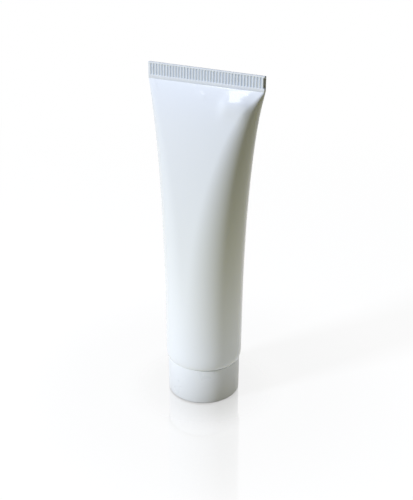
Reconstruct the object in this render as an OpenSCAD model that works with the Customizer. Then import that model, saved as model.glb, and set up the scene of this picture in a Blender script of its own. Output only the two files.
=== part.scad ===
// A squeeze tube that stands on its screw cap, filled with clear gel. Lengths are in millimetres.
// The origin is the centre of the cap's foot, +Z runs up the tube, and the flat end lies along X.

/* [Tube] */
// Diameter of the round end of the sleeve
tube_d = 30; // [20:0.5:50]
// Height over all, from the cap's foot to the top edge of the flat end
total_h = 129.3; // [90:0.1:180]
// Wall of the sleeve
sleeve_wall = 0.5; // [0.3:0.05:0.8]
// How soon the sleeve swells below its flat end, as the power of the fall
swell_power = 2.65; // [1.5:0.05:4]
// How softly the swelling starts under the flat end
swell_start = 0.863; // [0.6:0.001:1.2]
// Height of the rounded lower edge of the sleeve
edge_h = 3.5; // [1:0.1:6]
// How far the rounded lower edge turns in
edge_in = 0.6; // [0.1:0.05:1.2]

/* [Flat end] */
// Height of the welded band
crimp_h = 5.6; // [4:0.1:12]
// Thickness of the welded band
crimp_t = 1.15; // [0.8:0.01:2]
// Step from the welded band down to the sleeve, on each side
crimp_step = 0.07; // [0.02:0.01:0.2]
// Straight run of the sleeve just below the welded band
flat_run = 0.9; // [0.2:0.1:4]
// Plain strip under the ribs
plain_band = 1.1; // [0.8:0.1:2.5]
// Plain strip above the ribs
top_band = 0.45; // [0.2:0.05:1.5]
// Distance from rib to rib
rib_pitch = 1.22; // [0.8:0.01:3]
// Width of a groove between two ribs, at the surface
groove_w = 0.74; // [0.3:0.01:0.76]
// Depth of a groove
groove_depth = 0.2; // [0.05:0.01:0.35]

/* [Shoulder and neck] */
// Thickness of the flange that is welded into the sleeve
flange_t = 1.5; // [0.8:0.1:3]
// Outer diameter of the shoulder cone, where it leaves the flange
cone_d = 25; // [18:0.5:25.4]
// Depth of the shoulder cone below the flange
cone_h = 2.6; // [1:0.1:5]
// Wall of the shoulder cone
cone_wall = 1.2; // [0.8:0.1:2]
// Outer diameter of the neck, under the thread
neck_d = 10; // [8:0.1:13]
// Diameter of the bore in the neck
bore_d = 6.8; // [5:0.1:7.4]
// Diameter of the hole at the tip
orifice_d = 4.4; // [2:0.1:5]
// Length of the narrow hole at the tip
orifice_l = 1.2; // [0.6:0.1:3]
// Thickness of the peel-off seal on the tip
seal_t = 0.15; // [0.1:0.01:0.4]

/* [Cap] */
// Height of the cap
cap_h = 15.2; // [11:0.1:20]
// How much smaller than the sleeve the cap is at its rim, on the radius
cap_step = 0.7; // [0.3:0.05:1.2]
// Draft of the cap's side from rim to foot, on the radius
cap_draft = 0.05; // [0:0.01:0.5]
// Wall of the cap's side
cap_wall = 1.25; // [0.9:0.05:1.4]
// Thickness of the cap's closed end
cap_floor = 1.6; // [1:0.1:3]
// Radius of the rounded edge round the foot
foot_edge_r = 0.8; // [0.2:0.1:1]
// Wall of the threaded collar inside the cap
collar_wall = 1.2; // [0.8:0.05:2]
// Thickness of the sealing disc on the cap's floor
wad_t = 1; // [0.5:0.1:2]

/* [Fits] */
// Slit between the cap's rim and the shoulder
seam_gap = 0.25; // [0.1:0.05:0.5]
// Room for the thread between neck and collar, on the radius
thread_room = 1.1; // [0.6:0.05:1.5]
// Room above the collar's mouth, under the shoulder
collar_gap = 0.6; // [0.3:0.05:1.5]
// Radial play of the sealing disc in the collar
wad_gap = 0.2; // [0.1:0.05:0.4]
// Weld line between the flange and the sleeve, on the radius
weld_gap = 0.03; // [0.02:0.01:0.1]
// Film between the gel and what holds it
gel_gap = 0.25; // [0.1:0.05:0.5]

/* [Hidden] */
$fn = 96;

// Points round the sleeve, rings down its swelling, rings round its lower edge
AROUND = 60;
SWELL_RINGS = 16;
EDGE_RINGS = 4;
ARC_STEPS = 6;

// Levels, from the foot up
wad_top = cap_floor + wad_t;
tip_z = wad_top + seal_t;
flange_z = cap_h + seam_gap;
flange_top = flange_z + flange_t;
cone_end_z = flange_z - cone_h;
full_z = flange_z + edge_h;
crimp_z = total_h - crimp_h;
flat_z = crimp_z - flat_run;
// The sleeve ends halfway up the plain strip, inside the welded band
weld_in_z = crimp_z + plain_band / 2;

// Radii and widths
tube_r = tube_d / 2;
flat_half = crimp_t / 2 - crimp_step;
crimp_w = PI * tube_r;
cap_r = tube_r - cap_step;
foot_r = cap_r - cap_draft;
skirt_r = foot_r - cap_wall;
cone_r = min(cone_d / 2, skirt_r - seam_gap);
neck_r = neck_d / 2;
collar_in_r = neck_r + thread_room;
collar_out_r = collar_in_r + collar_wall;
collar_top = cone_end_z - collar_gap;
// How much wider the shoulder cone gets for each millimetre up, and a level measure of its slant
cone_slope = (cone_r - neck_r) / cone_h;
slant = sqrt(1 + cone_slope * cone_slope);

rib_count = floor((crimp_w - rib_pitch) / rib_pitch);
// Share of a groove's half width that its floor takes
groove_floor = 0.4;
// Half the thickness at which a lining of the sleeve ends, under the flat end
lining_end = 0.12;
// How much closer together the rings lie near the flat end
ring_crowding = 1.5;

white_film = [0.93, 0.95, 0.97];
white_moulded = [0.95, 0.96, 0.97];

// Half the thickness of the sleeve at a height: thin at the flat end, and round at the shoulder
function swollen_half(z) =
    let (down = min(1, max(0, (flat_z - z) / (flat_z - full_z))))
    flat_half + (tube_r - flat_half) * pow(1 - pow(1 - down, swell_power), swell_start);

// How far the rounded lower edge has turned in at a height
function edge_inset(z) =
    let (turn = min(1, max(0, (full_z - z) / edge_h)))
    edge_in * (1 - sqrt(1 - turn * turn));

// The section keeps its girth: two flats with a round edge at either end
function flat_len(z) = PI * (tube_r - swollen_half(z)) / 2;

// A point on the first quarter of the section, at a share of the way round it
function quarter_point(flat, half, share, inset) =
    let (way = share * (flat + PI * half / 2), turn = way / half * 180 / PI)
    turn <= 90
        ? [flat + (half - inset) * cos(turn), (half - inset) * sin(turn)]
        : [flat - (way - PI * half / 2), half - inset];

// One ring of the sleeve at a height, brought in by an inset
function ring(z, inset) =
    let (half = swollen_half(z) - edge_inset(z), flat = flat_len(z), quarter = AROUND / 4)
    [for (i = [0:AROUND - 1])
        let (
            side = floor(i / quarter),
            step = (i % quarter) / quarter,
            p = quarter_point(flat, half, side % 2 == 0 ? step : 1 - step, inset)
        )
        [side == 1 || side == 2 ? -p[0] : p[0], side < 2 ? p[1] : -p[1], z]];

// Heights of the rings down to the full round, closer together near the flat end
swell_levels = [for (i = [0:SWELL_RINGS]) full_z + (flat_z - full_z) * (1 - pow(i / SWELL_RINGS, ring_crowding))];
// Heights of the rings round the lower edge
edge_levels = [for (i = [1:EDGE_RINGS]) full_z - edge_h * sin(90 * i / EDGE_RINGS)];
// The same heights from where a lining of the sleeve starts
function lining_levels(inset) =
    let (top = lining_top(inset))
    concat([top], [for (z = swell_levels) if (z < top - lining_end) z], edge_levels);

// The level just under the flat end at which a lining of the sleeve closes to a thin edge
function lining_top(inset, low = full_z, high = flat_z, tries = 30) =
    let (mid = (low + high) / 2)
    tries == 0 ? low
        : swollen_half(mid) > inset + lining_end
            ? lining_top(inset, mid, high, tries - 1)
            : lining_top(inset, low, mid, tries - 1);

// Faces that close a ring, in strips from front to back
function closing_faces() =
    let (n = AROUND, last = AROUND / 2 - 1)
    concat(
        [[0, 1, n - 1]],
        [for (i = [1:last - 1]) [i, i + 1, n - i - 1, n - i]],
        [[last, last + 1, last + 2]]
    );

// A closed solid through rings with the same number of points, from its first ring to its last
module skinned(rings) {
    count = len(rings);
    points = [for (r = rings, p = r) p];
    sides = [for (k = [0:count - 2], i = [0:AROUND - 1])
        let (a = k * AROUND + i, b = k * AROUND + (i + 1) % AROUND)
        [a, b, b + AROUND, a + AROUND]];
    triangles = [for (s = sides, half = [[s[0], s[1], s[2]], [s[0], s[2], s[3]]]) half];
    last = (count - 1) * AROUND;
    polyhedron(points, concat(
        [for (face = closing_faces()) [for (i = [len(face) - 1:-1:0]) face[i]]],
        triangles,
        [for (face = closing_faces()) [for (i = face) i + last]]
    ), convexity = 8);
}

// A quarter turn of an outline's corner, from one angle to another
function arc(x, y, r, from, to) =
    [for (i = [0:ARC_STEPS]) let (a = from + (to - from) * i / ARC_STEPS) [x + r * cos(a), y + r * sin(a)]];

// Outline of the ribbed strip from above, with a groove between each two ribs on both faces
function groove_points(side) =
    [for (i = [0:rib_count], k = [0:3])
        let (
            x = (i - rib_count / 2) * rib_pitch,
            reach = groove_w / 2 * [-1, -groove_floor, groove_floor, 1][k],
            deep = [0, groove_depth, groove_depth, 0][k]
        )
        [side * (x + reach), side * (crimp_t / 2 - deep)]];

module welded_band() {
    rib_h = crimp_h - plain_band - top_band;
    corner = crimp_w / 2;
    half = crimp_t / 2;
    translate([-corner, -half, crimp_z]) cube([crimp_w, crimp_t, plain_band]);
    translate([0, 0, crimp_z + plain_band]) linear_extrude(rib_h)
        polygon(concat(
            [[corner, -half], [corner, half]],
            [for (i = [len(groove_points(1)) - 1:-1:0]) groove_points(1)[i]],
            [[-corner, half], [-corner, -half]],
            [for (i = [len(groove_points(-1)) - 1:-1:0]) groove_points(-1)[i]]
        ));
    translate([-corner, -half, total_h - top_band]) cube([crimp_w, crimp_t, top_band]);
}

module sleeve() {
    outer = concat([weld_in_z], swell_levels, edge_levels);
    inner = lining_levels(sleeve_wall);
    color(white_film) union() {
        skinned(concat(
            [for (z = outer) ring(z, 0)],
            [for (i = [len(inner) - 1:-1:0]) ring(inner[i], sleeve_wall)]
        ));
        welded_band();
    }
}

// Radius of the funnel inside the shoulder cone at a height, which keeps the cone's wall
function funnel_r(z) = cone_r - cone_wall * slant + (z - flange_z) * cone_slope;
// The height at which the funnel has a radius
function funnel_z(r) = flange_z + (r - cone_r + cone_wall * slant) / cone_slope;
// Radius of the flange's rim at a height, just inside the sleeve's wall
function flange_r(z) = swollen_half(z) - edge_inset(z) - sleeve_wall - weld_gap;

module tube_head() {
    rim_levels = [for (i = [EDGE_RINGS - 1:-1:0]) if (edge_levels[i] < flange_top) edge_levels[i]];
    bore_r = bore_d / 2;
    hole_r = orifice_d / 2;
    funnel_top_r = min(funnel_r(flange_top), flange_r(flange_top) - cone_wall / 2);
    color(white_moulded) rotate_extrude() polygon(concat(
        [[hole_r, tip_z], [neck_r, tip_z], [neck_r, cone_end_z], [cone_r, flange_z]],
        [for (z = concat(rim_levels, [flange_top])) [flange_r(z), z]],
        [[funnel_top_r, flange_top], [funnel_top_r, funnel_z(funnel_top_r)], [bore_r, funnel_z(bore_r)]],
        [[bore_r, tip_z + orifice_l], [hole_r, tip_z + orifice_l]]
    ));
}

module foil_seal() {
    color("silver") translate([0, 0, wad_top]) cylinder(r = neck_r, h = seal_t);
}

module cap_wad() {
    color([0.86, 0.88, 0.9]) translate([0, 0, cap_floor]) cylinder(r = collar_in_r - wad_gap, h = wad_t);
}

module cap() {
    rim_break = cap_wall / 5;
    color(white_moulded) rotate_extrude() polygon(concat(
        [[0, 0]],
        arc(foot_r - foot_edge_r, foot_edge_r, foot_edge_r, -90, 0),
        [[cap_r, cap_h - rim_break], [cap_r - rim_break, cap_h], [skirt_r, cap_h], [skirt_r, cap_floor]],
        [[collar_out_r, cap_floor], [collar_out_r, collar_top], [collar_in_r, collar_top]],
        [[collar_in_r, cap_floor], [0, cap_floor]]
    ));
}

module gel() {
    film = sleeve_wall + gel_gap;
    base_z = flange_top + gel_gap;
    levels = [for (z = lining_levels(film)) if (z > base_z) z];
    stem_r = bore_d / 2 - gel_gap;
    tip_r = orifice_d / 2 - gel_gap;
    hole_top = tip_z + orifice_l + gel_gap;
    cone_top_r = min(funnel_r(flange_top), flange_r(flange_top) - cone_wall / 2) - gel_gap * slant;
    color([0.85, 0.93, 0.97]) union() {
        skinned([for (z = concat(levels, [base_z])) ring(z, film)]);
        rotate_extrude() polygon([
            [0, tip_z],
            [tip_r, tip_z],
            [tip_r, hole_top],
            [stem_r, hole_top],
            [stem_r, funnel_z(stem_r + gel_gap * slant)],
            [cone_top_r, funnel_z(cone_top_r + gel_gap * slant)],
            [cone_top_r, base_z + gel_gap],
            [0, base_z + gel_gap]
        ]);
    }
}

cap();
cap_wad();
foil_seal();
tube_head();
sleeve();
gel();
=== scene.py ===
"""Looks of a white squeeze tube that stands on its screw cap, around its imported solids.

Metres throughout, +Z up the tube, the flat end along X, the front along -Y.
"""

import math

import bmesh
import bpy
import numpy as np
from mathutils import Matrix, Quaternion, Vector


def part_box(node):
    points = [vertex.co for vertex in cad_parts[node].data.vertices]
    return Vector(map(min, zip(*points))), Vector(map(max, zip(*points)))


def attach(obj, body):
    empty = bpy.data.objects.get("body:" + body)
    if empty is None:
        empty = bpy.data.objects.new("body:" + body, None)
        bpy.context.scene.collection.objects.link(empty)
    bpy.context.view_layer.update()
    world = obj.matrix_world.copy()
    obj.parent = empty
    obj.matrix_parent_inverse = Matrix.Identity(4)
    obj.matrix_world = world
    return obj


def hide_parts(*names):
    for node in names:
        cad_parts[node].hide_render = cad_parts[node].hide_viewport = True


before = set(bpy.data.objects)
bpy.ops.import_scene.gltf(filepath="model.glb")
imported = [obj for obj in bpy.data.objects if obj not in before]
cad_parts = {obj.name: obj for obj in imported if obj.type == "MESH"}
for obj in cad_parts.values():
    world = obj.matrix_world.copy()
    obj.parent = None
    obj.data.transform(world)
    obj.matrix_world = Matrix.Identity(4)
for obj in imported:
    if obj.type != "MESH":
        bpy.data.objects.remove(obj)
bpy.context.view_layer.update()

MM = 0.001

# Sizes that the solids give
SLEEVE_LOW, SLEEVE_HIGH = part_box("sleeve")
CAP_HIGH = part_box("cap")[1]
HEAD_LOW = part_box("tube_head")[0]
WAD_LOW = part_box("cap_wad")[0]
SEAL_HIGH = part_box("foil_seal")[1]
TUBE_R = SLEEVE_HIGH.y
TOTAL_H = SLEEVE_HIGH.z
BAND_HALF_W = SLEEVE_HIGH.x
SHOULDER_Z = SLEEVE_LOW.z
CAP_H = CAP_HIGH.z
CAP_R = CAP_HIGH.x
NECK_R = SEAL_HIGH.x
TIP_Z = HEAD_LOW.z
CAP_FLOOR = WAD_LOW.z

# Sizes of the sleeve that lie inside its box
WALL = 0.5 * MM
EDGE_H = 3.5 * MM
EDGE_IN = 0.6 * MM
BAND_H = 5.6 * MM
BAND_T = 1.15 * MM
BAND_STEP = 0.07 * MM
# How far under the band the swelling starts, and its curve from there down
SWELL_TOP = 0.15 * MM
SWELL_POWER = 2.65
SWELL_START = 0.863

BAND_Z = TOTAL_H - BAND_H
FLAT_Z = BAND_Z - SWELL_TOP
FULL_Z = SHOULDER_Z + EDGE_H
FLAT_HALF = BAND_T / 2 - BAND_STEP

# The camera, from the photograph's perspective
FRAME_LONG_PX = 500
FOCAL_PX = 779
SENSOR = 36
CAMERA_AZ = math.radians(30.8)
CAMERA_OUT = 272.1 * MM
CAMERA_UP = 180.9 * MM
CAMERA_YAW = math.radians(-0.161)
CAMERA_PITCH = math.radians(-0.736)
CAMERA_ROLL = math.radians(-0.198)


def make_camera():
    data = bpy.data.cameras.new("camera")
    data.sensor_fit = "AUTO"
    data.sensor_width = SENSOR
    data.lens = FOCAL_PX / FRAME_LONG_PX * SENSOR
    data.clip_start = 0.01
    data.clip_end = 20
    camera = bpy.data.objects.new("camera", data)
    place = Vector((math.sin(CAMERA_AZ) * CAMERA_OUT, -math.cos(CAMERA_AZ) * CAMERA_OUT, CAMERA_UP))
    ahead = (Vector((0, 0, TOTAL_H / 2)) - place).normalized()
    right = ahead.cross(Vector((0, 0, 1))).normalized()
    up = right.cross(ahead)
    yaw = Quaternion(up, CAMERA_YAW)
    ahead, right = yaw @ ahead, yaw @ right
    pitch = Quaternion(right, CAMERA_PITCH)
    ahead, up = pitch @ ahead, pitch @ up
    roll = Quaternion(ahead, CAMERA_ROLL)
    right, up = roll @ right, roll @ up
    turn = Matrix((right, up, -ahead)).transposed().to_4x4()
    camera.matrix_world = Matrix.Translation(place) @ turn
    bpy.context.scene.collection.objects.link(camera)
    bpy.context.scene.camera = camera


# Meshes

# Faces that meet at more than this have a sharp edge between them
SHARP = math.radians(40)


def smooth(piece):
    work = bmesh.new()
    work.from_mesh(piece.data)
    bmesh.ops.recalc_face_normals(work, faces=work.faces)
    for face in work.faces:
        face.smooth = True
    for edge in work.edges:
        edge.smooth = len(edge.link_faces) == 2 and edge.calc_face_angle() < SHARP
    work.to_mesh(piece.data)
    work.free()
    piece.data.update()


def new_object(name, verts, faces):
    """A closed, smooth-shaded mesh."""
    mesh = bpy.data.meshes.new(name)
    mesh.from_pydata([tuple(v) for v in verts], [], faces)
    piece = bpy.data.objects.new(name, mesh)
    bpy.context.scene.collection.objects.link(piece)
    smooth(piece)
    return piece


def united(piece, other):
    """The piece with the other joined on as one closed skin; the other is used up."""
    join = piece.modifiers.new("join", "BOOLEAN")
    join.operation = "UNION"
    join.solver = "EXACT"
    join.object = other
    depsgraph = bpy.context.evaluated_depsgraph_get()
    whole = bpy.data.meshes.new_from_object(piece.evaluated_get(depsgraph))
    piece.modifiers.remove(join)
    piece.data = whole
    bpy.data.objects.remove(other)
    piece.data.name = piece.name
    return piece


def grid_faces(rows, around, closed_rows=False):
    """Quads between rows of points that each run round once."""
    faces = []
    for j in range(rows if closed_rows else rows - 1):
        for i in range(around):
            low = j * around
            high = (j + 1) % rows * around
            after = (i + 1) % around
            faces.append((low + i, low + after, high + after, high + i))
    return faces


def closing_faces(around, first):
    """Strips across a ring that is alike on both sides of the X axis."""
    half = around // 2
    faces = [(first, first + 1, first + around - 1)]
    for i in range(1, half - 1):
        faces.append((first + i, first + i + 1, first + around - i - 1, first + around - i))
    faces.append((first + half - 1, first + half, first + half + 1))
    return faces


def arc(x, y, r, start, end, steps):
    """Points on an arc, from one angle to another in degrees."""
    turns = [math.radians(start + (end - start) * i / steps) for i in range(steps + 1)]
    return [(x + r * math.cos(t), y + r * math.sin(t)) for t in turns]


# The sleeve

SLEEVE_AROUND = 288
SLEEVE_ROWS = 150
LINING_ROWS = 50
EDGE_ROWS = 10
# How much closer the rows lie near the band
ROW_CROWDING = 1.3
# Half the room that the lining still has where it closes, and the halvings that find that height
LINING_HALF = 0.12 * MM
HALVINGS = 40
# How far the faces belly out between their edges, as a share of the flat's half length, and how soon
CROWN = 0.11
CROWN_START = 12 * MM
# How much fuller the edges are a little under the band than at an even girth, and how far under it
FULLER = 1.5 * MM
FULLER_AT = 7.5 * MM
FULLER_TRADE = 1.164
# How much wider the weld holds the sleeve just under the band, and how soon that is gone
SPREAD = 0.32 * MM
SPREAD_OVER = 5 * MM
# How much the weld holds the swelling back just under the band, and how soon that starts and ends
HELD = 0.9 * MM
HELD_FROM = 1.6 * MM
HELD_TO = 14 * MM
# Puckers that the weld leaves in the front, in mm: the middle's x and z, the half length, the height of the
# upper flank and of the lower one, the lean in degrees and how far it stands out
PUCKERS = [
    (14.1, 119.6, 5.1, 3.7, 4.0, 3, 1.2),
    (0.6, 120.8, 2.1, 0.8, 0.9, -24, 0.17),
    (-20.4, 122.9, 1.5, 0.7, 0.8, -50, 0.12),
    (-18.9, 121.2, 1.6, 0.7, 0.8, -50, 0.12),
]
PUCKER_TOP_POWER = 1.4
PUCKER_END_POWER = 4


def swollen_half(z):
    """Half the thickness that the swelling has at a height."""
    down = np.clip((FLAT_Z - z) / (FLAT_Z - FULL_Z), 0, 1)
    return FLAT_HALF + (TUBE_R - FLAT_HALF) * (1 - (1 - down) ** SWELL_POWER) ** SWELL_START


def edge_inset(z):
    """How far the rounded lower edge is drawn in at a height."""
    turn = np.clip((FULL_Z - z) / EDGE_H, 0, 1)
    return EDGE_IN * (1 - np.sqrt(1 - turn * turn))


def puckered(x, z):
    """How far the puckers push the front out at a place."""
    out = 0
    for middle_x, middle_z, length, above, below, lean, height in PUCKERS:
        off_x, off_z = x / MM - middle_x, z / MM - middle_z
        c, s = math.cos(math.radians(lean)), math.sin(math.radians(lean))
        along, across = off_x * c + off_z * s, off_z * c - off_x * s
        if across > 0:
            flank = max(0, 1 - across / above) ** PUCKER_TOP_POWER
        else:
            flank = math.exp(-(across / below) ** 2)
        out += height * MM * flank * math.exp(-(along / length) ** PUCKER_END_POWER)
    return out


def section_sizes(z):
    """At a height: the radius of the round edges, half the length between them and the faces' crown."""
    swollen = float(swollen_half(z))
    down = max(0, FLAT_Z - z)
    fuller = FULLER * down / FULLER_AT * math.exp(1 - down / FULLER_AT)
    swollen -= HELD * (math.exp(-down / HELD_TO) - math.exp(-down / HELD_FROM))
    edge_r = swollen - float(edge_inset(z)) + fuller
    flat = math.pi * (TUBE_R - swollen) / 2 - FULLER_TRADE * fuller
    flat += SPREAD * math.exp(-down / SPREAD_OVER)
    crown = CROWN * flat * (1 - math.exp(-down / CROWN_START))
    return edge_r, flat, crown


def section(z, inset):
    """Points round the sleeve at a height: two slightly bellied faces with a round edge at either end."""
    edge_r, flat, crown = section_sizes(z)
    r = edge_r - inset
    edge_way = math.pi * edge_r / 2
    quarter = SLEEVE_AROUND // 4
    points = []
    for i in range(SLEEVE_AROUND):
        side = i // quarter
        step = (i % quarter) / quarter
        share = step if side % 2 == 0 else 1 - step
        way = share * (flat + edge_way)
        turn = way / edge_r
        if turn <= math.pi / 2:
            x, y = flat + r * math.cos(turn), r * math.sin(turn)
        else:
            x, y = flat - (way - edge_way), r
        y += crown * (1 - (x / (flat + r)) ** 2)
        x = -x if side in (1, 2) else x
        front = side >= 2
        if front and inset == 0:
            y += puckered(x, z) * min(1, (y / edge_r) ** 2)
        points.append((x, -y if front else y, z))
    return points


def lining_top():
    """The height just under the flat end at which the sleeve's lining closes."""
    low, high = FULL_Z, FLAT_Z
    for _ in range(HALVINGS):
        middle = (low + high) / 2
        if swollen_half(middle) > WALL + LINING_HALF:
            low = middle
        else:
            high = middle
    return low


def swell_levels(top, rows):
    return [FULL_Z + (top - FULL_Z) * (1 - (i / rows) ** ROW_CROWDING) for i in range(rows + 1)]


def edge_levels():
    return [FULL_Z - EDGE_H * math.sin(math.pi / 2 * i / EDGE_ROWS) for i in range(1, EDGE_ROWS + 1)]


def make_sleeve_wall():
    """The outer skin from inside the band down, and the lining from the shoulder up."""
    outer = [BAND_Z + PLAIN_BAND / 2] + swell_levels(FLAT_Z, SLEEVE_ROWS) + edge_levels()
    inner = (swell_levels(lining_top(), LINING_ROWS) + edge_levels())[::-1]
    verts = [p for z in outer for p in section(z, 0)]
    verts += [p for z in inner for p in section(z, WALL)]
    rows = len(outer) + len(inner)
    faces = grid_faces(rows, SLEEVE_AROUND)
    faces += closing_faces(SLEEVE_AROUND, 0)
    faces += closing_faces(SLEEVE_AROUND, (rows - 1) * SLEEVE_AROUND)
    return new_object("sleeve_skin", verts, faces)


# The welded band with its ribs

# The plain strips under and above the ribs
PLAIN_BAND = 1.1 * MM
TOP_BAND = 0.45 * MM
GROOVES = 38
RIB_PITCH = 1.195 * MM
RIB_STEPS = 16
GROOVE_W = 0.82 * MM
GROOVE_DEPTH = 0.18 * MM
# Half the width of a groove's flat floor, as a share of its width
GROOVE_FLOOR = 0.3
# The height over which a groove starts and ends, and the shares of it that have a row
GROOVE_RAMP = 0.3 * MM
RAMP_ROWS = [0.25, 0.5, 0.75, 1]
PRESSED_ROWS = [0.33, 0.66]
# How unevenly the grooves are pressed
PRESS_SHARES = (0.92, 1.0)
BAND_EDGE_R = 0.16 * MM
CORNER_SHARE = 0.3
# The right end: its corners' radius, the angle in degrees where they meet and the cut beside the ribs
END_R = 0.25 * MM
END_LEAN = -15
END_CUT = 0.5 * MM
END_STEPS = 8
# How far the cut top edge slants, in height for each length
TOP_SLANT = -0.0105


def groove_share(x, press_shares):
    """How deep the band is pressed at a place along it: 1 in the middle of a groove, 0 on a rib."""
    place = x / RIB_PITCH + (GROOVES - 1) / 2
    index = np.clip(np.round(place), 0, GROOVES - 1).astype(int)
    off = np.abs(place - index) * RIB_PITCH
    floor = GROOVE_W * GROOVE_FLOOR
    slope = np.clip((GROOVE_W / 2 - off) / (GROOVE_W / 2 - floor), 0, 1)
    return press_shares[index] * slope * slope * (3 - 2 * slope)


def band_end(half_w, half_t, r, cut):
    """The right end of the band in plan, front to back, cut a little aslant, with round corners."""
    front = arc(half_w - cut - r, r - half_t, r, -90, END_LEAN, END_STEPS)
    back = arc(half_w - r, half_t - r, r, END_LEAN, 90, END_STEPS)
    return front + back


def band_levels():
    """Up the band: the height, how far the outline is drawn in and how far the grooves are pressed."""
    rib_low = BAND_Z + PLAIN_BAND
    rib_high = TOTAL_H - TOP_BAND
    corner = CORNER_SHARE * BAND_EDGE_R
    levels = [(BAND_Z, BAND_EDGE_R, 0)]
    levels += [(BAND_Z + corner, corner, 0)]
    levels += [(BAND_Z + BAND_EDGE_R, 0, 0)]
    levels += [(rib_low, 0, 0)]
    levels += [(rib_low + GROOVE_RAMP * t, 0, math.sin(math.pi / 2 * t)) for t in RAMP_ROWS]
    levels += [(rib_low + (rib_high - rib_low) * t, 0, 1) for t in PRESSED_ROWS]
    levels += [(rib_high - GROOVE_RAMP * t, 0, math.sin(math.pi / 2 * t)) for t in RAMP_ROWS[::-1]]
    levels += [(rib_high, 0, 0)]
    levels += [(TOTAL_H - BAND_EDGE_R, 0, 0)]
    levels += [(TOTAL_H - corner, corner, 0)]
    levels += [(TOTAL_H, BAND_EDGE_R, 0)]
    return levels


def make_band():
    rng = np.random.default_rng(7)
    front_shares = rng.uniform(*PRESS_SHARES, GROOVES)
    back_shares = rng.uniform(*PRESS_SHARES, GROOVES)
    reach = ((GROOVES - 1) * RIB_PITCH + GROOVE_W) / 2
    across = np.linspace(-reach, reach, GROOVES * RIB_STEPS + 1)
    front_press = groove_share(across, front_shares) * GROOVE_DEPTH
    back_press = groove_share(across, back_shares) * GROOVE_DEPTH
    levels = band_levels()
    verts = []
    for z, inset, pressed in levels:
        side = BAND_T / 2 - inset
        right = band_end(BAND_HALF_W - inset, side, END_R - inset, END_CUT * pressed)
        front = [(x, -(side - p * pressed)) for x, p in zip(across, front_press)]
        back = [(x, side - p * pressed) for x, p in zip(across[::-1], back_press[::-1])]
        left = [(-x, -y) for x, y in band_end(BAND_HALF_W - inset, side, END_R - inset, 0)]
        slant = TOP_SLANT * (z - BAND_Z) / BAND_H
        verts += [(x, y, z + slant * x) for x, y in front + right + back + left]
    around = len(verts) // len(levels)
    faces = grid_faces(len(levels), around)
    faces.append(tuple(range(around))[::-1])
    faces.append(tuple(range((len(levels) - 1) * around, len(levels) * around)))
    return new_object("band", verts, faces)


# Turned pieces

TURN_STEPS = 192


def turned(name, outline):
    """A solid of revolution from a closed outline of (radius, height), or one from axis to axis."""
    on_axis = outline[0][0] == 0
    inner = outline[1:-1] if on_axis else outline
    verts = []
    for r, z in inner:
        for i in range(TURN_STEPS):
            turn = 2 * math.pi * i / TURN_STEPS
            verts.append((r * math.cos(turn), r * math.sin(turn), z))
    faces = grid_faces(len(inner), TURN_STEPS, closed_rows=not on_axis)
    if on_axis:
        for end, row in ((outline[0], 0), (outline[-1], len(inner) - 1)):
            verts.append((0, 0, end[1]))
            tip = len(verts) - 1
            first = row * TURN_STEPS
            faces += [(tip, first + i, first + (i + 1) % TURN_STEPS) for i in range(TURN_STEPS)]
    return new_object(name, verts, faces)


# The thread between neck and collar

THREAD_PITCH = 3.0 * MM
THREAD_H = 0.7 * MM
THREAD_BASE = 0.8 * MM
THREAD_CREST = 0.35 * MM
THREAD_SINK = 0.15 * MM
# How the crest is rounded, in shares of its height and of its width
CREST_SIDE = 0.75
CREST_TOP = 0.55
# How far the ridge fades at its ends, and what is left of its height and of its width there
THREAD_FADE = math.radians(50)
FADED_H = 0.02
FADED_W = 0.3
# Each ridge: how far above the neck's tip it starts, its turns and its first direction
COLLAR_THREAD = (1.15 * MM, 2.35, math.radians(130))
NECK_THREAD = (1.9 * MM, 2.25, math.radians(40))


def thread_ridge(name, r, side, thread):
    """A right-handed ridge on the outside (1) or the inside (-1) of a cylinder, faded at both ends."""
    above_tip, turns, start = thread
    steps = int(turns * TURN_STEPS)
    profile = [(-THREAD_SINK, -THREAD_BASE), (0, -THREAD_BASE)]
    profile += [(THREAD_H * CREST_SIDE, -THREAD_CREST), (THREAD_H, -THREAD_CREST * CREST_TOP)]
    profile += [(out, -along) for out, along in profile[::-1]]
    verts = []
    for i in range(steps + 1):
        turn = 2 * math.pi * i / TURN_STEPS
        full = min(1, turn / THREAD_FADE, (steps * 2 * math.pi / TURN_STEPS - turn) / THREAD_FADE)
        grown = FADED_H + (1 - FADED_H) * math.sin(math.pi / 2 * full)
        for out, along in profile:
            reach = r + side * (out * grown if out > 0 else out)
            z = TIP_Z + above_tip + THREAD_PITCH * turn / (2 * math.pi)
            z += along * (FADED_W + (1 - FADED_W) * grown)
            verts.append((reach * math.cos(start + turn), reach * math.sin(start + turn), z))
    n = len(profile)
    faces = grid_faces(steps + 1, n)
    faces.append(tuple(range(n)))
    faces.append(tuple(range(steps * n, (steps + 1) * n))[::-1])
    return new_object(name, verts, faces)


# The cap

CAP_DRAFT = 0.05 * MM
CAP_WALL = 1.25 * MM
CAP_SOFT = 0.3 * MM
FOOT_EDGE_R = 0.8 * MM
RIM_BREAK = 0.25 * MM
COLLAR_IN_R = NECK_R + 1.1 * MM
COLLAR_OUT_R = COLLAR_IN_R + 1.2 * MM
COLLAR_TOP = 12.25 * MM
# Half of the rim stands a little higher, which all but closes the seam there: from a direction, clockwise
RIM_LIFT = 0.2 * MM
RIM_ZONE = 1.5 * RIM_BREAK
LIFT_FROM = math.radians(-61)
LIFT_SOFT = math.radians(4)


def lift_rim(shell):
    for vert in shell.data.vertices:
        if vert.co.z > CAP_H - RIM_ZONE:
            past = (LIFT_FROM - math.atan2(vert.co.y, vert.co.x)) % (2 * math.pi)
            share = np.clip(min(past, math.pi - past) / LIFT_SOFT, 0, 1)
            vert.co.z += RIM_LIFT * share


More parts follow.
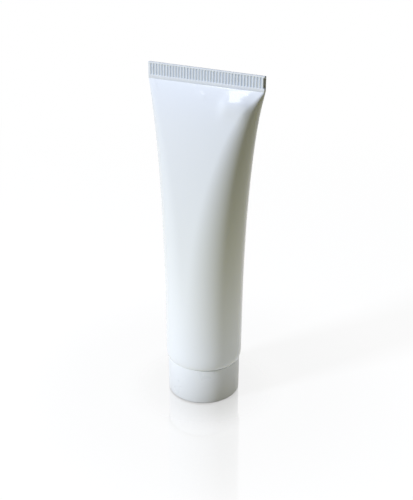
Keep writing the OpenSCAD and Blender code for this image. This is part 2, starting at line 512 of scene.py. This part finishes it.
def make_cap():
    foot_r = CAP_R - CAP_DRAFT
    skirt_r = foot_r - CAP_WALL
    outline = [(0, 0), (foot_r / 2, 0)]
    outline += arc(foot_r - FOOT_EDGE_R, FOOT_EDGE_R, FOOT_EDGE_R, -90, 0, 12)
    outline += arc(CAP_R - RIM_BREAK, CAP_H - RIM_BREAK, RIM_BREAK, 0, 90, 6)
    outline += arc(skirt_r + RIM_BREAK, CAP_H - RIM_BREAK, RIM_BREAK, 90, 180, 4)
    outline += arc(skirt_r - CAP_SOFT, CAP_FLOOR + CAP_SOFT, CAP_SOFT, 0, -90, 4)
    outline += arc(COLLAR_OUT_R + CAP_SOFT, CAP_FLOOR + CAP_SOFT, CAP_SOFT, -90, -180, 4)
    outline += arc(COLLAR_OUT_R - CAP_SOFT, COLLAR_TOP - CAP_SOFT, CAP_SOFT, 0, 90, 4)
    outline += arc(COLLAR_IN_R + CAP_SOFT, COLLAR_TOP - CAP_SOFT, CAP_SOFT, 90, 180, 4)
    outline += [(COLLAR_IN_R, CAP_FLOOR), (0, CAP_FLOOR)]
    shell = turned("cap_shell", outline)
    lift_rim(shell)
    return united(shell, thread_ridge("collar_thread", COLLAR_IN_R, -1, COLLAR_THREAD))


# The head: flange, shoulder cone and neck, with the bore through it

FLANGE_T = 1.5 * MM
CONE_R = 12.5 * MM
CONE_H = 2.6 * MM
CONE_WALL = 1.2 * MM
BORE_R = 3.4 * MM
HOLE_R = 2.2 * MM
HOLE_L = 1.2 * MM
HEAD_SOFT = 0.25 * MM
WELD_GAP = 0.03 * MM


def make_head():
    flange_top = SHOULDER_Z + FLANGE_T
    cone_end = SHOULDER_Z - CONE_H
    slope = (CONE_R - NECK_R) / CONE_H
    slant = math.sqrt(1 + slope * slope)
    funnel_low_r = CONE_R - CONE_WALL * slant
    funnel_top_r = funnel_low_r + FLANGE_T * slope
    funnel_low = SHOULDER_Z + (BORE_R - funnel_low_r) / slope
    rim = [z for z in edge_levels()[::-1] if z < flange_top] + [flange_top]
    outline = arc(HOLE_R + HEAD_SOFT, TIP_Z + HEAD_SOFT, HEAD_SOFT, 180, 270, 4)
    outline += arc(NECK_R - HEAD_SOFT, TIP_Z + HEAD_SOFT, HEAD_SOFT, -90, 0, 4)
    outline += arc(NECK_R + HEAD_SOFT, cone_end - HEAD_SOFT, HEAD_SOFT, 180, 120, 3)
    outline += [(CONE_R, SHOULDER_Z)]
    outline += [(TUBE_R - float(edge_inset(z)) - WALL - WELD_GAP, z) for z in rim[1:]]
    outline += [(funnel_top_r, flange_top), (BORE_R, funnel_low)]
    outline += [(BORE_R, TIP_Z + HOLE_L), (HOLE_R, TIP_Z + HOLE_L)]
    head = turned("head_moulding", outline)
    return united(head, thread_ridge("neck_thread", NECK_R, 1, NECK_THREAD))


# Materials

# The part of a noise's range that its colours or values are spread over
NOISE_RANGE = (0.3, 0.7)

# White plastic: its colour, how far that varies, and its noise scales and heights
WHITE = (0.83, 0.862, 0.9)
CLOUD = (0.994, 1.004)
CLOUD_SCALE = 45
GLOSS_SCALE = 130
WAVE_SCALE = 170
WAVE_STRETCH = (1, 1, 0.35)
WAVE_H = 0.012 * MM
FILM_ROUGH = (0.12, 0.18)
FILM_GRAIN = 1500
FILM_GRAIN_H = 0.003 * MM
MOULDED_ROUGH = (0.26, 0.34)
MOULDED_GRAIN = 2200
MOULDED_GRAIN_H = 0.005 * MM

# The painted shade in the grooves: its colour, between which shares of their depth it comes in, and from
# which share of the strip below
GROOVE_SHADE_COLOUR = (0.6, 0.665, 0.75)
GROOVE_SHADE_DEPTHS = (0.1, 0.7)
GROOVE_SHADE_UP = 0.8

FOAM_COLOURS = ((0.6, 0.62, 0.65), (0.78, 0.8, 0.83))
PORE_SCALE = 2600
PORE_DEPTH = 0.06 * MM

FOIL_COLOURS = ((0.68, 0.69, 0.7), (0.8, 0.81, 0.82))
FOIL_ROUGH = (0.22, 0.4)
LINE_SCALE = 900
LINE_STRETCH = (0.06, 1, 1)
CREASE_SCALE = 420
CREASE_H = 0.03 * MM

GEL_COLOURS = ((0.8, 0.9, 0.95), (0.88, 0.95, 0.98))
BUBBLE_SCALE = 420
BUBBLE_H = 0.02 * MM


def new_material(name):
    material = bpy.data.materials.new(name)
    material.use_nodes = True
    tree = material.node_tree
    return material, tree, tree.nodes["Principled BSDF"]


def linked(tree, source, target):
    tree.links.new(source, target)


def calculated(tree, operation, first, second):
    node = tree.nodes.new("ShaderNodeMath")
    node.operation = operation
    linked(tree, first, node.inputs[0])
    linked(tree, second, node.inputs[1])
    return node.outputs[0]


def mixed_shader(tree, share, first, second):
    mix = tree.nodes.new("ShaderNodeMixShader")
    linked(tree, share, mix.inputs[0])
    linked(tree, first, mix.inputs[1])
    linked(tree, second, mix.inputs[2])
    return mix.outputs[0]


def object_place(tree):
    """The place in the piece's own metres."""
    return tree.nodes.new("ShaderNodeTexCoord").outputs["Object"]


def object_noise(tree, scale, detail, roughness, stretch=(1, 1, 1)):
    mapping = tree.nodes.new("ShaderNodeMapping")
    mapping.inputs["Scale"].default_value = stretch
    noise = tree.nodes.new("ShaderNodeTexNoise")
    noise.inputs["Scale"].default_value = scale
    noise.inputs["Detail"].default_value = detail
    noise.inputs["Roughness"].default_value = roughness
    linked(tree, object_place(tree), mapping.inputs["Vector"])
    linked(tree, mapping.outputs["Vector"], noise.inputs["Vector"])
    return noise.outputs["Fac"]


def object_cells(tree, scale):
    cells = tree.nodes.new("ShaderNodeTexVoronoi")
    cells.inputs["Scale"].default_value = scale
    linked(tree, object_place(tree), cells.inputs["Vector"])
    return cells.outputs["Distance"]


def ranged(tree, value, source, target):
    """A value spread from one range onto another."""
    spread = tree.nodes.new("ShaderNodeMapRange")
    spread.inputs["From Min"].default_value = source[0]
    spread.inputs["From Max"].default_value = source[1]
    spread.inputs["To Min"].default_value = target[0]
    spread.inputs["To Max"].default_value = target[1]
    linked(tree, value, spread.inputs["Value"])
    return spread.outputs["Result"]


def tinted(tree, value, colours):
    """A colour between two, by a noise value."""
    ramp = tree.nodes.new("ShaderNodeValToRGB")
    for element, position, colour in zip(ramp.color_ramp.elements, NOISE_RANGE, colours):
        element.position = position
        element.color = (*colour, 1)
    linked(tree, value, ramp.inputs["Fac"])
    return ramp.outputs["Color"]


def bumped(tree, value, height, before=None):
    """Bump of a height in metres, on top of an earlier one."""
    bump = tree.nodes.new("ShaderNodeBump")
    bump.inputs["Strength"].default_value = 1.0
    bump.inputs["Distance"].default_value = height
    linked(tree, value, bump.inputs["Height"])
    if before:
        linked(tree, before, bump.inputs["Normal"])
    return bump.outputs["Normal"]


def groove_painted_shade(tree, colour):
    """The colour with painted shade, a little darker and bluer in the pressed grooves of the band."""
    parts = tree.nodes.new("ShaderNodeSeparateXYZ")
    linked(tree, object_place(tree), parts.inputs[0])
    out = tree.nodes.new("ShaderNodeMath")
    out.operation = "ABSOLUTE"
    linked(tree, parts.outputs["Y"], out.inputs[0])
    depths = [BAND_T / 2 - share * GROOVE_DEPTH for share in GROOVE_SHADE_DEPTHS]
    heights = (BAND_Z + GROOVE_SHADE_UP * PLAIN_BAND, BAND_Z + PLAIN_BAND)
    pressed = ranged(tree, out.outputs[0], depths, (0, 1))
    in_band = ranged(tree, parts.outputs["Z"], heights, (0, 1))
    mix = tree.nodes.new("ShaderNodeMix")
    mix.data_type = "RGBA"
    linked(tree, calculated(tree, "MULTIPLY", pressed, in_band), mix.inputs["Factor"])
    linked(tree, colour, mix.inputs["A"])
    mix.inputs["B"].default_value = (*GROOVE_SHADE_COLOUR, 1)
    return mix.outputs["Result"]


def white_plastic(name, rough, grain, grain_height, with_groove_shade=False):
    """Glossy white polyethylene: cloudy by a little, with a faint skin texture and patches of gloss."""
    material, tree, shader = new_material(name)
    whites = [[c * factor for c in WHITE] for factor in CLOUD]
    colour = tinted(tree, object_noise(tree, CLOUD_SCALE, 2, 0.5), whites)
    # Painted shade: the band's grooves are darkened and blued in the base colour
    if with_groove_shade:
        colour = groove_painted_shade(tree, colour)
    linked(tree, colour, shader.inputs["Base Color"])
    patches = object_noise(tree, GLOSS_SCALE, 3, 0.6)
    linked(tree, ranged(tree, patches, NOISE_RANGE, rough), shader.inputs["Roughness"])
    waves = bumped(tree, object_noise(tree, WAVE_SCALE, 2, 0.5, WAVE_STRETCH), WAVE_H)
    skin = bumped(tree, object_noise(tree, grain, 2, 0.5), grain_height, waves)
    linked(tree, skin, shader.inputs["Normal"])
    shader.inputs["IOR"].default_value = 1.5
    return material


def foam_material(name):
    """Closed foam with a skin of small pores."""
    material, tree, shader = new_material(name)
    pores = object_cells(tree, PORE_SCALE)
    linked(tree, tinted(tree, pores, FOAM_COLOURS), shader.inputs["Base Color"])
    linked(tree, bumped(tree, pores, PORE_DEPTH), shader.inputs["Normal"])
    shader.inputs["Roughness"].default_value = 0.75
    return material


def foil_material(name):
    """Thin aluminium foil, a little creased, with rolling lines."""
    material, tree, shader = new_material(name)
    lines = object_noise(tree, LINE_SCALE, 4, 0.6, LINE_STRETCH)
    creases = object_noise(tree, CREASE_SCALE, 3, 0.6)
    linked(tree, tinted(tree, lines, FOIL_COLOURS), shader.inputs["Base Color"])
    linked(tree, ranged(tree, lines, NOISE_RANGE, FOIL_ROUGH), shader.inputs["Roughness"])
    linked(tree, bumped(tree, creases, CREASE_H), shader.inputs["Normal"])
    shader.inputs["Metallic"].default_value = 1.0
    return material


def gel_material(name):
    """Clear gel with a few small bubbles."""
    material, tree, shader = new_material(name)
    bubbles = object_cells(tree, BUBBLE_SCALE)
    linked(tree, tinted(tree, bubbles, GEL_COLOURS), shader.inputs["Base Color"])
    linked(tree, bumped(tree, bubbles, BUBBLE_H), shader.inputs["Normal"])
    shader.inputs["Roughness"].default_value = 0.08
    shader.inputs["IOR"].default_value = 1.35
    shader.inputs["Transmission Weight"].default_value = 0.85
    return material


# Light and floor

BLACK = (0, 0, 0)

# The soft key lamp, and the small one that only shows as a glint on the puckers
KEY_AZ = -31.7
KEY_EL = 38
KEY_OUT = 1.05
KEY_SIZE = (0.14, 0.14)
KEY_POWER = 11.8
KEY_COLOUR = (0.85, 0.893, 0.985)
GLINT_AZ = -65
GLINT_EL = 63
GLINT_OUT = 0.8
GLINT_SIZE = (0.17, 0.07)
GLINT_POWER = 0.25
GLINT_COLOUR = (1, 1, 1)

# The floor's colour where it shows the shadow, how much of it the key gives back, and how far that reaches
FLOOR_HALF = 3.0
SHADE = 0.09
SHADE_LIT = 0.5
SHADE_FULL = 100 * MM
SHADE_END = 450 * MM
# The floor's reflection, what is left of it further out, and how far each reaches
MIRROR = 0.42
MIRROR_LEFT = 0.4
MIRROR_FULL = 14 * MM
MIRROR_PART = 35 * MM
MIRROR_END = 100 * MM
# Light from the white surroundings, in rings round the foot: by the foot, near it and further out
BOUNCE_FOOT = (0.5, 0.48, 0.38)
BOUNCE_NEAR = (1.3, 1.34, 1.46)
BOUNCE_FAR = (1.14, 1.04, 0.22)
BOUNCE_RING = [
    (0, BLACK),
    (13.8 * MM, BLACK),
    (15.8 * MM, BOUNCE_FOOT),
    (32 * MM, BOUNCE_FOOT),
    (50 * MM, BOUNCE_NEAR),
    (80 * MM, BOUNCE_NEAR),
    (100 * MM, BOUNCE_FAR),
    (130 * MM, BOUNCE_FAR),
    (160 * MM, BLACK),
]


def area_light(name, azimuth, elevation, distance, size, power, colour):
    data = bpy.data.lights.new(name, "AREA")
    data.shape = "RECTANGLE"
    data.size, data.size_y = size
    data.energy = power
    data.color = colour
    lamp = bpy.data.objects.new(name, data)
    az, el = math.radians(azimuth), math.radians(elevation)
    aim = Vector((0, 0, TOTAL_H * 0.5))
    out = Vector((math.sin(az) * math.cos(el), -math.cos(az) * math.cos(el), math.sin(el)))
    lamp.location = aim + out * distance
    lamp.rotation_mode = "QUATERNION"
    lamp.rotation_quaternion = (-out).to_track_quat("-Z", "Y")
    lamp.visible_camera = False
    bpy.context.scene.collection.objects.link(lamp)
    return lamp


def seen_directly(tree):
    """1 for what the camera sees, also by way of gloss or glass, and 0 for light that falls on things."""
    path = tree.nodes.new("ShaderNodeLightPath")
    seen = path.outputs["Is Camera Ray"]
    for other in ("Is Glossy Ray", "Is Transmission Ray"):
        seen = calculated(tree, "MAXIMUM", seen, path.outputs[other])
    return seen


def make_light():
    """Two lamps in a room that looks white and throws no light of its own."""
    key = area_light("key", KEY_AZ, KEY_EL, KEY_OUT, KEY_SIZE, KEY_POWER, KEY_COLOUR)
    key.visible_glossy = False
    glint = area_light("glint", GLINT_AZ, GLINT_EL, GLINT_OUT, GLINT_SIZE, GLINT_POWER, GLINT_COLOUR)
    glint.visible_diffuse = False
    world = bpy.data.worlds.new("world")
    bpy.context.scene.world = world
    world.use_nodes = True
    world.cycles.sampling_method = "NONE"
    tree = world.node_tree
    dark = tree.nodes["Background"]
    dark.inputs["Color"].default_value = (*BLACK, 1)
    white = tree.nodes.new("ShaderNodeBackground")
    white.inputs["Color"].default_value = (1, 1, 1, 1)
    room = mixed_shader(tree, seen_directly(tree), dark.outputs[0], white.outputs[0])
    linked(tree, room, tree.nodes["World Output"].inputs["Surface"])


def by_distance(tree, stops):
    """A colour from the distance to the foot, through (metres, colour) stops up to the last."""
    length = tree.nodes.new("ShaderNodeVectorMath")
    length.operation = "LENGTH"
    linked(tree, object_place(tree), length.inputs[0])
    scaled = tree.nodes.new("ShaderNodeMath")
    scaled.operation = "DIVIDE"
    scaled.inputs[1].default_value = stops[-1][0]
    linked(tree, length.outputs["Value"], scaled.inputs[0])
    ramp = tree.nodes.new("ShaderNodeValToRGB")
    ramp.color_ramp.interpolation = "EASE"
    while len(ramp.color_ramp.elements) < len(stops):
        ramp.color_ramp.elements.new(0.5)
    for element, (metres, colour) in zip(ramp.color_ramp.elements, stops):
        element.position = metres / stops[-1][0]
        element.color = (*colour, 1)
    linked(tree, scaled.outputs[0], ramp.inputs["Fac"])
    return ramp.outputs["Color"]


def grey_by_distance(tree, stops):
    return by_distance(tree, [(metres, (value, value, value)) for metres, value in stops])


def pale_shader(tree):
    """White to the eye, with the key's shadow kept round the foot."""
    lit = tree.nodes.new("ShaderNodeBsdfDiffuse")
    colour = grey_by_distance(tree, [(0, SHADE), (SHADE_FULL, SHADE), (SHADE_END, 0)])
    linked(tree, colour, lit.inputs["Color"])
    glow = tree.nodes.new("ShaderNodeEmission")
    pale = 1 - SHADE * SHADE_LIT
    glowing = grey_by_distance(tree, [(0, pale), (SHADE_FULL, pale), (SHADE_END, 1)])
    linked(tree, glowing, glow.inputs["Color"])
    both = tree.nodes.new("ShaderNodeAddShader")
    linked(tree, lit.outputs[0], both.inputs[0])
    linked(tree, glow.outputs[0], both.inputs[1])
    return both.outputs[0]


def floor_material():
    """Pale gloss floor with a short reflection in it, and a soft bounce on the tube from near its foot."""
    material = bpy.data.materials.new("floor_white")
    material.use_nodes = True
    material.cycles.emission_sampling = "NONE"
    tree = material.node_tree
    tree.nodes.clear()
    gloss = tree.nodes.new("ShaderNodeBsdfGlossy")
    gloss.inputs["Roughness"].default_value = 0.06
    left = MIRROR_LEFT * MIRROR
    stops = [(0, MIRROR), (MIRROR_FULL, MIRROR), (MIRROR_PART, left), (MIRROR_END, 0)]
    shown = mixed_shader(tree, grey_by_distance(tree, stops), pale_shader(tree), gloss.outputs[0])
    bounce = tree.nodes.new("ShaderNodeEmission")
    linked(tree, by_distance(tree, BOUNCE_RING), bounce.inputs["Color"])
    output = tree.nodes.new("ShaderNodeOutputMaterial")
    surface = mixed_shader(tree, seen_directly(tree), bounce.outputs[0], shown)
    linked(tree, surface, output.inputs["Surface"])
    return material


def make_floor():
    mesh = bpy.data.meshes.new("floor")
    corners = [(-1, -1), (1, -1), (1, 1), (-1, 1)]
    mesh.from_pydata([(x * FLOOR_HALF, y * FLOOR_HALF, 0) for x, y in corners], [], [(0, 1, 2, 3)])
    floor = bpy.data.objects.new("floor", mesh)
    bpy.context.scene.collection.objects.link(floor)
    floor.data.materials.append(floor_material())


def dressed(piece, material, body, node):
    piece.data.materials.clear()
    piece.data.materials.append(material)
    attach(piece, body)
    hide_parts(node)


def repainted(node, material):
    """A solid that stays as it is, with a better material."""
    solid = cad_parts[node]
    solid.data.materials.clear()
    solid.data.materials.append(material)


make_camera()
skin = united(make_sleeve_wall(), make_band())
smooth(skin)
# The film's grooves get painted shade in their colour
film = white_plastic("sleeve_film", FILM_ROUGH, FILM_GRAIN, FILM_GRAIN_H, with_groove_shade=True)
moulded = white_plastic("moulded_plastic", MOULDED_ROUGH, MOULDED_GRAIN, MOULDED_GRAIN_H)
dressed(skin, film, "tube", "sleeve")
dressed(make_cap(), moulded, "cap", "cap")
dressed(make_head(), moulded, "tube", "tube_head")
repainted("cap_wad", foam_material("wad_foam"))
repainted("foil_seal", foil_material("seal_foil"))
repainted("gel", gel_material("clear_gel"))
make_floor()
make_light()
bpy.context.scene.view_settings.view_transform = "Standard"
